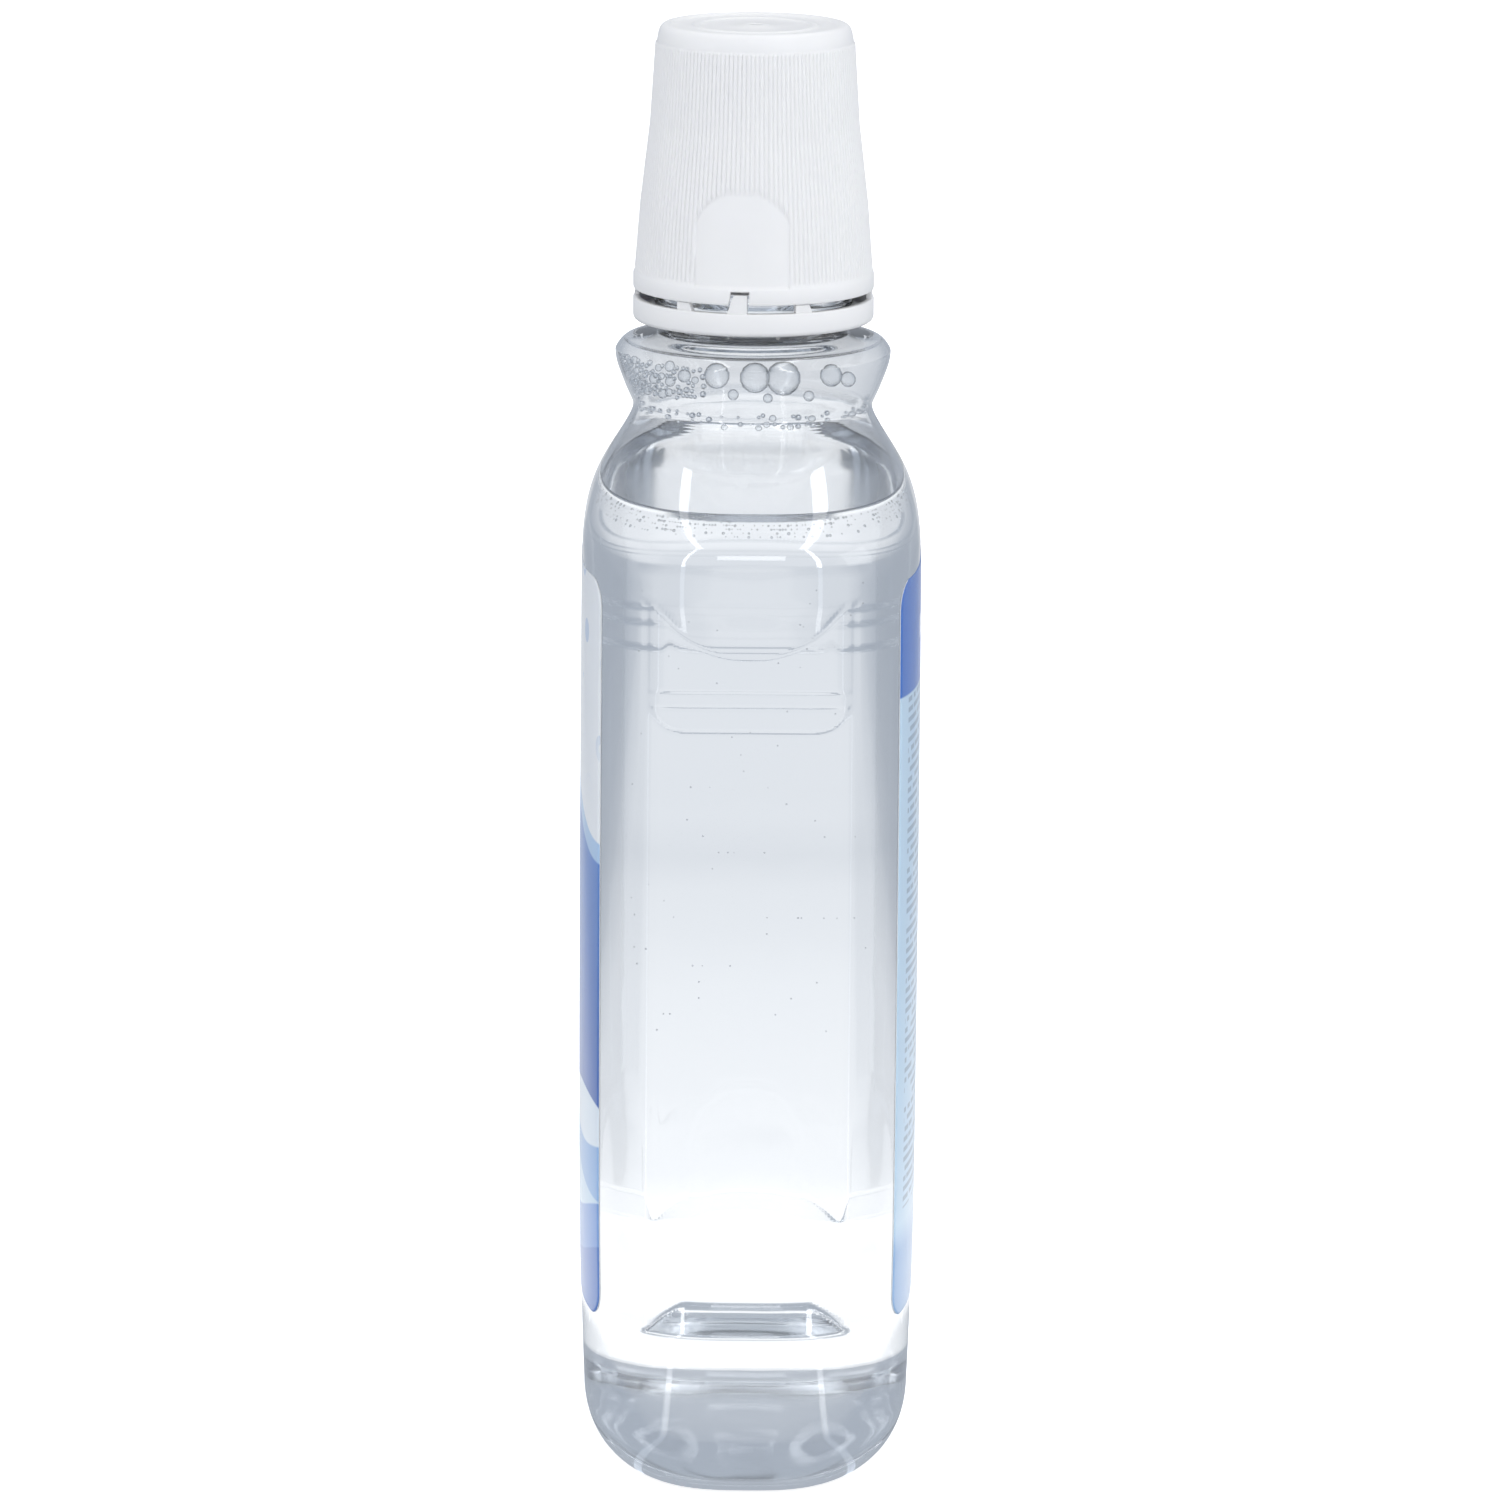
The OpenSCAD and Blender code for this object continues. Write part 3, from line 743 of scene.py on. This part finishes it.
def dosing_cup():
    rim = [
        (CAP_R - 0.3, 0),
        (CAP_R - 0.08, 0.08),
        (CAP_R, 0.3),
        (CAP_R, RIM_HEIGHT - 0.1),
        (CAP_R - 0.06, RIM_HEIGHT + 0.08),
    ]
    rings = [cap_ring(r, h) for r, h in rim]
    heights = [RIB_LOW - 0.1, RIB_LOW + 0.1, RIB_LOW + RIB_END]
    heights += list(np.linspace(RIB_LOW + 0.9, RIB_HIGH - 0.9, 62)) + [RIB_HIGH - RIB_END, RIB_HIGH - 0.1]
    for h in heights:
        patch = rib_share(h)
        rings.append(cap_ring(wall_r(h) - RIB_DEPTH * (1 - patch) - RIB_DEPTH * patch * (1 - rib_wave(h)), h))
    rings += [cap_ring(CAP_TOP_R - 0.36, RIB_HIGH + 0.1), cap_ring(CAP_TOP_R - 0.38, RIB_HIGH + 0.25)]
    shoulder = [
        (CAP_TOP_R - 0.38, RIB_HIGH + 0.4),
        (CAP_TOP_R - 0.52, CAP_HEIGHT - 1.5),
        (CAP_TOP_R - 0.7, CAP_HEIGHT - 0.85),
        (CAP_TOP_R - 0.98, CAP_HEIGHT - 0.38),
        (CAP_TOP_R - 1.4, CAP_HEIGHT - 0.08),
        (CAP_TOP_R - 1.9, CAP_HEIGHT),
    ]
    top = [
        (CAP_TOP_R - 2.4, CAP_HEIGHT),
        (CAP_TOP_R - 2.6, CAP_HEIGHT - 0.08),
        (CAP_TOP_R - 2.8, CAP_HEIGHT - 0.3),
        (CAP_TOP_R - 3.0, CAP_HEIGHT - TOP_RECESS),
        (9.4, CAP_HEIGHT - TOP_RECESS),
        (9.2, CAP_HEIGHT - 0.3),
        (9.1, CAP_HEIGHT - 0.18),
        (8.8, CAP_HEIGHT - 0.14),
        (8.3, CAP_HEIGHT - 0.14),
        (8.0, CAP_HEIGHT - 0.18),
        (7.9, CAP_HEIGHT - 0.3),
        (7.7, CAP_HEIGHT - TOP_RECESS),
        (2.2, CAP_HEIGHT - TOP_RECESS),
        (1.9, CAP_HEIGHT - 0.2),
        (1.5, CAP_HEIGHT - 0.16),
        (0.02, CAP_HEIGHT - 0.16),
    ]
    cup = [
        (0.02, CAP_HEIGHT - TOP_THICK),
        (CAP_TOP_R - 2.8, CAP_HEIGHT - TOP_THICK),
        (CAP_TOP_R - 2.2, CAP_HEIGHT - 1.5),
        (CAP_TOP_R - 1.8, CAP_HEIGHT - 2.1),
        (CAP_TOP_R - CAP_WALL - 0.3, CAP_HEIGHT - 3.7),
        (CAP_TOP_R - CAP_WALL, CAP_HEIGHT - 4.7),
        (wall_r(24.5) - CAP_WALL, 24.5),
        (wall_r(LEDGE_TOP) - CAP_WALL, LEDGE_TOP),
        (wall_r(LEDGE_TOP) - CAP_WALL - 0.3, LEDGE_TOP - 0.4),
    ]
    ledge_and_skirt = [
        (LEDGE_R + 0.3, LEDGE_TOP),
        (LEDGE_R, LEDGE_TOP - 0.3),
        (LEDGE_R, LEDGE_LOW + 0.3),
        (LEDGE_R + 0.3, LEDGE_LOW),
        (SKIRT_R, LEDGE_LOW),
        (SKIRT_R, SKIRT_LOW + 0.4),
        (SKIRT_R + 0.3, SKIRT_LOW),
        (SKIRT_OUT_R, SKIRT_LOW),
        (SKIRT_OUT_R, SKIRT_ROOT),
        (wall_r(SKIRT_ROOT) - CAP_WALL, SKIRT_ROOT),
        (CAP_R - 0.2 - CAP_WALL, RIB_LOW),
        (CAP_R - CAP_WALL, 0.2),
        (CAP_R - CAP_WALL + 0.2, 0),
    ]
    rings += [cap_ring(r, h) for r, h in smooth_line(shoulder, 3) + top + cup + ledge_and_skirt]
    return skin("ribbed_dosing_cap", rings, closed_loop=True)


# A bar along a radius at an angle, with its cross-section as places aside and above the cap's lower edge
def prism(name, from_r, to_r, shape, angle):
    n = len(shape)
    faces = [[i, (i + 1) % n, n + (i + 1) % n, n + i] for i in range(n)]
    faces += [list(range(n))[::-1], list(range(n, 2 * n))]
    turn = Matrix.Rotation(math.radians(angle), 3, "Z")
    verts = [turn @ Vector((r, y, z)) + Vector((0, 0, CAP_Z)) for r in (from_r, to_r) for y, z in shape]
    return mesh_piece(name, [tuple(v) for v in verts], faces)


def cut(piece, cutters):
    for cutter in cutters:
        tool = piece.modifiers.new("cut", "BOOLEAN")
        tool.operation = "DIFFERENCE"
        tool.solver = "EXACT"
        tool.object = cutter
    bpy.context.view_layer.update()
    made = bpy.data.meshes.new_from_object(piece.evaluated_get(bpy.context.evaluated_depsgraph_get()))
    piece.modifiers.clear()
    piece.data = made
    for cutter in cutters:
        bpy.data.objects.remove(cutter)


# Thread inside the cap's skirt, in the gap of the neck's thread
def cap_thread():
    steps = 96
    count = int(steps * SCREW_TURNS) + 1
    profile = [(SCREW_ROOT_R, -1.15), (SCREW_CREST_R, -0.5), (SCREW_CREST_R, 0.5), (SCREW_ROOT_R, 1.15)]
    verts, faces = [], []
    for k in range(count):
        turn = 2 * np.pi * k / steps
        z = THREAD_LOW + THREAD_PITCH * (0.5 + k / steps)
        ends = max(min(1.0, k / 6, (count - 1 - k) / 6), 0.02)
        for r, dz in profile:
            r = SCREW_ROOT_R - (SCREW_ROOT_R - r) * ends
            verts.append((r * math.cos(turn), r * math.sin(turn), z + dz))
    for k in range(count - 1):
        a, b = 4 * k, 4 * k + 4
        faces += [[a + i, a + (i + 1) % 4, b + (i + 1) % 4, b + i] for i in range(4)]
    faces += [[3, 2, 1, 0], [len(verts) - 4 + i for i in range(4)]]
    return mesh_piece("cap_thread", verts, faces)


dress(cap_thread(), "cap", "white_polypropylene", WHITE_PP)

cup = dosing_cup()
notch = [(-2, -1), (1.24, -1), (1.24, NOTCH_DEPTH), (-1.46, NOTCH_DEPTH)]
cut(cup, [prism("notch", 15.3, CAP_R + 2, notch, a) for a in (TAB_ANGLE, TAB_ANGLE + 180)])
dress(cup, "cap", "white_polypropylene", WHITE_PP, "dosing_cap")


def tamper_ring():
    inner = CAP_R - BAND_WALL
    line = [
        (CAP_R - 0.2, BAND_TOP),
        (inner + 0.15, BAND_TOP),
        (inner, BAND_TOP - 0.15),
        (inner, BEAD_Z - 0.7),
        (FLAP_R + 0.7, BEAD_Z - 0.25),
        (FLAP_R, BEAD_Z - 0.25),
        (FLAP_R, BEAD_Z - 0.9),
        (inner - 0.2, BAND_LOW),
        (CAP_R - 0.6, BAND_LOW),
        (CAP_R - 0.38, BAND_LOW + 0.06),
        (CAP_R - 0.15, BAND_LOW + 0.25),
        (CAP_R - 0.04, BAND_LOW + 0.48),
        (CAP_R, BAND_LOW + 0.7),
        (CAP_R, BAND_TOP - 0.2),
        (CAP_R - 0.06, BAND_TOP - 0.06),
    ]
    return skin("tamper_ring", lathe(line), closed_loop=True)


dress(tamper_ring(), "band", "white_polypropylene", WHITE_PP, "tamper_band")
for kept_node, material in (("breakaway_tabs", WHITE_PP), ("seal_ring", LINER)):
    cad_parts[kept_node].data.materials.clear()
    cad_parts[kept_node].data.materials.append(material)


# One pass of the press: an ink over the print so far, where share is 1
def printed(tree, share, under, ink):
    return add(tree, "Mix", {0: share, 6: under, 7: ink}, out=2, data_type="RGBA")


# 1 above a line and 0 below it, with an edge as soft as a printed one
def over_line(tree, height, line, soft=0.15):
    above = add(tree, "Math", [height, line], operation="SUBTRACT")
    return add(tree, "MapRange", {"Value": above, "From Min": -soft, "From Max": soft})


# Height of a waved line across the label
def swell_line(tree, across, middle, swing, length, phase):
    turn = add(tree, "Math", [across, 2 * math.pi / length, phase], operation="MULTIPLY_ADD")
    sine = add(tree, "Math", [turn], operation="SINE")
    return add(tree, "Math", [sine, swing, middle], operation="MULTIPLY_ADD")


# Film of printed polypropylene: white behind, print and a gloss coat in front
def start_film(name, side):
    material, tree, shader, place = start_material(name)
    spot = add(tree, "SeparateXYZ", {"Vector": place}, out=None).outputs
    across = add(tree, "Math", [spot["X"], 1 / MM], operation="MULTIPLY")
    height = add(tree, "Math", [spot["Z"], 1 / MM], operation="MULTIPLY")
    facing = add(tree, "SeparateXYZ", {"Vector": add(tree, "NewGeometry", out="True Normal")}, out="Y")
    toward = add(tree, "Math", [facing, side], operation="MULTIPLY")
    front = add(tree, "Math", [toward, -0.05], operation="GREATER_THAN")
    ripple = add(tree, "TexNoise", {"Vector": place, "Scale": grain(5)}, out="Fac")
    feed(tree, shader, {
        "Roughness": 0.3,
        "Coat Weight": 0.4,
        "Subsurface Weight": 0.45,
        "Subsurface Radius": (0.0008, 0.0008, 0.0009),
        "Subsurface Scale": 1.0,
        "Normal": add(tree, "Bump", {"Height": ripple, "Distance": 0.03 * MM}, out="Normal"),
    })
    return material, tree, shader, place, across, height, front


# Front print: pale ground with round drops, a broad blue swell with a light rim, and lighter swells below
def front_film():
    material, tree, shader, place, across, height, front = start_film("gloss_printed_front_film", -1.0)
    cloud = add(tree, "TexNoise", {"Vector": place, "Scale": grain(18)}, out="Fac")
    tint = printed(tree, cloud, "#E4E9F0", "#F3F6FA")
    flat = add(tree, "CombineXYZ", {"X": across, "Y": height})
    cell = {"Vector": flat, "Scale": 1 / DROP_CELL, "Randomness": 0.8}
    drop = add(tree, "TexVoronoi", cell, out="Distance")
    ring = add(tree, "Math", [drop, 0.3, 0.035], operation="COMPARE")
    high = add(tree, "Math", [ring, over_line(tree, height, DROPS_Z, 8.0)], operation="MULTIPLY")
    tint = printed(tree, add(tree, "Math", [high, 0.5], operation="MULTIPLY"), tint, "#7FA6DA")
    rim = swell_line(tree, across, RIM_Z, CREST_SWING, CREST_LENGTH, 0.6)
    tint = printed(tree, over_line(tree, rim, height), tint, "#A9C6E8")
    swell = printed(tree, over_line(tree, height, 74.0, 22.0), "#3F63AC", "#5C84C6")
    crest = swell_line(tree, across, CREST_Z, CREST_SWING, CREST_LENGTH, 0.6)
    tint = printed(tree, over_line(tree, crest, height), tint, swell)
    for middle, ink in SWELLS:
        line = swell_line(tree, across, middle, SWELL_SWING, SWELL_LENGTH + middle / 3, middle)
        tint = printed(tree, over_line(tree, line, height), tint, ink)
    feed(tree, shader, {"Base Color": printed(tree, front, "#EEF1F5", tint)})
    return material


# Share of the back label that is covered by fine grey bars in rows, in the place of words
def word_bars(tree, across, height, aside):
    row = add(tree, "Math", [height, ROW_PITCH], operation="DIVIDE")
    line = add(tree, "Math", [add(tree, "Math", [row], operation="FRACT"), 0.5], operation="LESS_THAN")
    column = add(tree, "Math", [across, WORD_WIDTH], operation="DIVIDE")
    shift = add(tree, "Math", [add(tree, "Math", [row], operation="FLOOR"), 7.3], operation="MULTIPLY")
    spot = add(tree, "CombineXYZ", {"X": column, "Y": shift})
    word = add(tree, "TexNoise", {"Vector": spot, "Scale": 1.0, "Detail": 1.0}, out="Fac")
    dark = add(tree, "Math", [word, 0.57], operation="LESS_THAN")
    bars = add(tree, "Math", [line, dark], operation="MULTIPLY")
    field = [over_line(tree, FIELD_HALF, aside), over_line(tree, height, FIELD_LOW)]
    bars = add(tree, "Math", [bars, add(tree, "Math", field, operation="MULTIPLY")], operation="MULTIPLY")
    return add(tree, "Math", [bars, 0.6], operation="MULTIPLY")


# Back print: blue head with a pale bar, pale field with rows of fine grey bars, blue foot
def back_film():
    material, tree, shader, place, across, height, front = start_film("gloss_printed_back_film", 1.0)
    aside = add(tree, "Math", [across], operation="ABSOLUTE")
    cloud = add(tree, "TexNoise", {"Vector": place, "Scale": grain(22)}, out="Fac")
    tint = printed(tree, cloud, "#B7D2EA", "#C6DCF0")
    tint = printed(tree, word_bars(tree, across, height, aside), tint, "#6E7E92")
    head = add(tree, "Math", [aside, 0.03, HEAD_Z], operation="MULTIPLY_ADD")
    head_cloud = add(tree, "TexNoise", {"Vector": place, "Scale": grain(25)}, out="Fac")
    tint = printed(tree, over_line(tree, height, head), tint, printed(tree, head_cloud, "#3A66B4", "#4776C6"))
    pale = add(tree, "Math", [height, PALE_BAR_Z, 1.6], operation="COMPARE")
    pale = add(tree, "Math", [pale, over_line(tree, PALE_BAR_HALF, aside)], operation="MULTIPLY")
    tint = printed(tree, add(tree, "Math", [pale, 0.8], operation="MULTIPLY"), tint, "#E9F1FA")
    tint = printed(tree, over_line(tree, FOOT_Z, height, 2.0), tint, "#8FB0D8")
    feed(tree, shader, {"Base Color": printed(tree, front, "#E8EDF3", tint)})
    return material


# Place of the body's surface aside from the middle of a broad face, at a height
def body_y(x, z):
    a, b, n = wide(z), deep(z), square_at(z)
    return b * (1 - (np.abs(x) / a) ** n) ** (1 / n)


# A thin film bent round one broad side, with round corners: rows lie close together where these turn
def label(name, side):
    nx = 61
    tall = LABEL_HIGH - LABEL_LOW
    corner = LABEL_CORNER / tall
    curve = (1 - np.cos(np.linspace(0, np.pi / 2, 9)))[:-1] * LABEL_CORNER / tall
    rows = np.concatenate([curve, np.linspace(corner, 1 - corner, 70), 1 - curve[::-1]])
    nz = len(rows)
    front, back = [], []
    for share in rows:
        z = LABEL_LOW + tall * share
        near = min(z - LABEL_LOW, LABEL_HIGH - z)
        pull = LABEL_CORNER - math.sqrt(max(LABEL_CORNER**2 - max(LABEL_CORNER - near, 0) ** 2, 0))
        x = (LABEL_WIDTH / 2 - pull) * np.linspace(-1, 1, nx)
        slope = (body_y(x + 0.1, z) - body_y(x - 0.1, z)) / 0.2
        n = np.stack([-slope, np.ones_like(x), np.zeros_like(x)], 1)
        n /= np.linalg.norm(n, axis=1, keepdims=True)
        p = np.stack([x, body_y(x, z), np.full_like(x, z)], 1)
        front.append(p + n * LABEL_PROUD)
        back.append(p - n * LABEL_SUNK)
    grid = np.array([front, back])
    grid[..., 1] *= side
    f, b = np.arange(2 * nz * nx).reshape(2, nz, nx).tolist()
    faces = []
    for j in range(nz - 1):
        for i in range(nx - 1):
            faces.append([f[j][i], f[j][i + 1], f[j + 1][i + 1], f[j + 1][i]])
            faces.append([b[j][i], b[j + 1][i], b[j + 1][i + 1], b[j][i + 1]])
    for i in range(nx - 1):
        faces.append([f[0][i], b[0][i], b[0][i + 1], f[0][i + 1]])
        faces.append([f[-1][i], f[-1][i + 1], b[-1][i + 1], b[-1][i]])
    for j in range(nz - 1):
        faces.append([f[j][0], f[j + 1][0], b[j + 1][0], b[j][0]])
        faces.append([f[j][-1], b[j][-1], b[j + 1][-1], f[j + 1][-1]])
    return mesh_piece(name, grid.reshape(-1, 3), faces)


dress(label("front_label_film", -1), "bottle", "front_label_film", front_film(), "front_label")
dress(label("back_label_film", 1), "bottle", "back_label_film", back_film(), "back_label")


# Matt paper that is lit evenly
def pale_paper():
    material, tree, shader, _ = start_material("matt_white_backdrop_paper")
    paper = {"Base Color": "#FFFFFF", "Roughness": 1.0, "Emission Color": "#FFFFFF", "Emission Strength": 0.8}
    feed(tree, shader, paper)
    return material


# The bowl is only the pale ground that the camera sees: the studio's air and table light the bottle
def paper_bowl():
    line = [(r, 0) for r in np.linspace(0.1, 2400, 14)]
    line += [(2400 + 600 * math.sin(t), 600 - 600 * math.cos(t)) for t in np.linspace(0.1, np.pi / 2, 10)]
    line += [(3000, 2600), (2400, 3600), (1200, 4200), (0.1, 4400)]
    floor = skin("paper_bowl", lathe(line))
    floor.data.materials.append(pale_paper())
    floor.visible_glossy = floor.visible_diffuse = floor.visible_transmission = floor.visible_shadow = False


paper_bowl()


def soft_light(name, place, target, width, height, watts, colour="#FFFFFF"):
    data = bpy.data.lights.new(name, "AREA")
    data.shape = "RECTANGLE"
    data.size, data.size_y = width, height
    data.energy = watts
    data.color = tone(colour)[:3]
    lamp = bpy.data.objects.new(name, data)
    lamp.location = place
    lamp.rotation_euler = (Vector(target) - Vector(place)).to_track_quat("-Z", "Y").to_euler()
    lamp.visible_camera = False
    bpy.context.scene.collection.objects.link(lamp)


# Two tall strip lamps in front, each with a bar overhead that runs from front to back, and four soft lamps
for name, side, width in (("strip_left", -1, 0.07), ("strip_right", 1, 0.11)):
    turn = math.radians(side * STRIP_ANGLE)
    x, y = STRIP_DISTANCE * math.cos(turn), STRIP_DISTANCE * math.sin(turn)
    soft_light(name, (x, y, 0.4), (0, 0, 0.4), width, 3.0, 38 * width)
    soft_light(name + "_top", (-0.5, 0.95 * y, 2.1), (-0.5, 0, 0.15), 3.4, 1.8 * width, 42 * width)
soft_light("side_left", (0.3, -1.5, 0.5), (0, 0, 0.1), 1.0, 1.2, 0.7)
soft_light("side_right", (0.3, 1.5, 0.5), (0, 0, 0.1), 1.0, 1.2, 2.0)
soft_light("overhead", (0.2, 0, 1.6), (0, 0, 0.1), 1.2, 1.2, 1)
soft_light("front_fill", (2.2, 0, 1.3), (0, 0, 0.15), 0.7, 0.7, 3)


# Colour of the studio at a share of light from 0, cool grey, to 1, white
def studio_grey(tree, share):
    return add(tree, "Mix", {0: share, 6: "#989FA9", 7: "#FFFFFF"}, out=2, data_type="RGBA")


# Share of light along a measure, from stops of place and share
def light_along(tree, source, low, high, stops):
    share = add(tree, "MapRange", {"Value": source, "From Min": low, "From Max": high})
    ramp = add(tree, "ValToRGB", {"Fac": share}, out=None)
    while len(ramp.color_ramp.elements) < len(stops):
        ramp.color_ramp.elements.new(0.5)
    for element, (at, level) in zip(ramp.color_ramp.elements, stops):
        element.position = (at - low) / (high - low)
        element.color = (level, level, level, 1)
    return ramp.outputs["Color"]


# Air of the studio: dim and cool behind the table, brighter overhead and at both sides
def studio_air():
    world = bpy.data.worlds.new("studio_air")
    bpy.context.scene.world = world
    world.use_nodes = True
    tree = world.node_tree
    tree.nodes.clear()
    way = add(tree, "TexCoord", out="Generated")
    split = add(tree, "SeparateXYZ", {"Vector": way}, out=None).outputs
    aside = add(tree, "Math", [split["Y"]], operation="ABSOLUTE")
    behind = add(tree, "Math", [split["X"], -1.0], operation="MULTIPLY")
    turn = add(tree, "Math", [aside, behind], operation="ARCTAN2")
    lift = add(tree, "Math", [split["Z"]], operation="ARCSINE")
    degree = math.pi / 180
    sides = light_along(tree, turn, 0.0, 180 * degree, [(q * degree, v) for q, v in SIDE_AIR])
    heights = light_along(tree, lift, -90 * degree, 90 * degree, [(q * degree, v) for q, v in HIGH_AIR])
    light = add(tree, "Math", [sides, heights], operation="MAXIMUM")
    air = add(tree, "Background", {"Color": studio_grey(tree, light), "Strength": STUDIO_LEVEL})
    add(tree, "OutputWorld", {"Surface": air}, out=None)


# Glowing table, seen only in reflections and through the bottle. Its light is painted: bright around the
# bottle, a painted shadow under and just behind the bottle, dimmer towards the table's sides, and painted
# reflections of the two strip lamps in front of the bottle
def lit_table():
    table = skin("lit_table", lathe([(0.1, -0.4), (3000, -0.4), (3000, -3), (0.1, -3)]))
    material, tree, shader, place = start_material("table_with_painted_light_and_shadow")
    split = add(tree, "SeparateXYZ", {"Vector": place}, out=None).outputs
    flat = add(tree, "CombineXYZ", {"X": split["X"], "Y": split["Y"]})
    away = add(tree, "VectorMath", [flat], out="Value", operation="LENGTH")
    aside = add(tree, "Math", [split["Y"]], operation="ABSOLUTE")
    # Painted light: a painted shadow near the bottle, then painted falloff away from it and towards the sides
    near = light_along(tree, away, 0.0, 0.8, [((TABLE_EDGE + d) * MM, v) for d, v in TABLE_AWAY])
    middle = light_along(tree, aside, 0.0, 0.5, [(d * MM, v) for d, v in TABLE_ASIDE])
    light = add(tree, "Math", [near, middle], operation="MULTIPLY")
    turn = add(tree, "Math", [aside, split["X"]], operation="ARCTAN2")
    # Painted reflections of the two strip lamps, as bright bands at their angle in front of the bottle
    strip = [turn, math.radians(STRIP_ANGLE), math.radians(2.0)]
    painted_strip_reflection = add(tree, "Math", strip, operation="COMPARE")
    strength = add(tree, "Math", [painted_strip_reflection, STRIP_PAINTED_REFLECTION, STUDIO_LEVEL], operation="MULTIPLY_ADD")
    feed(tree, shader, {
        "Base Color": "#000000",
        "Specular IOR Level": 0.0,
        "Emission Color": studio_grey(tree, light),
        "Emission Strength": strength,
    })
    table.data.materials.append(material)
    table.visible_camera = table.visible_shadow = False


lit_table()
studio_air()


def product_camera():
    data = bpy.data.cameras.new("product_camera")
    data.sensor_width = SENSOR
    data.lens = FOCAL_PIXELS / FRAME_PIXELS * SENSOR
    data.clip_start, data.clip_end = 0.05, 20
    camera = bpy.data.objects.new("product_camera", data)
    view = Vector((-math.cos(CAMERA_PITCH), 0, -math.sin(CAMERA_PITCH)))
    look = view.to_track_quat("-Z", "Y").to_matrix()
    roll = Matrix.Rotation(math.radians(CAMERA_ROLL), 3, "Z")
    place = Matrix.Translation((CAMERA_DISTANCE * MM, 0, CAMERA_HEIGHT * MM))
    camera.matrix_world = place @ (look @ roll).to_4x4()
    bpy.context.scene.collection.objects.link(camera)
    bpy.context.scene.camera = camera


product_camera()
bpy.context.scene.view_settings.view_transform = "Standard"
# Light passes many clear walls before it leaves the base
bpy.context.scene.cycles.max_bounces = 32
bpy.context.scene.cycles.transmission_bounces = 32
bpy.context.scene.cycles.glossy_bounces = 12
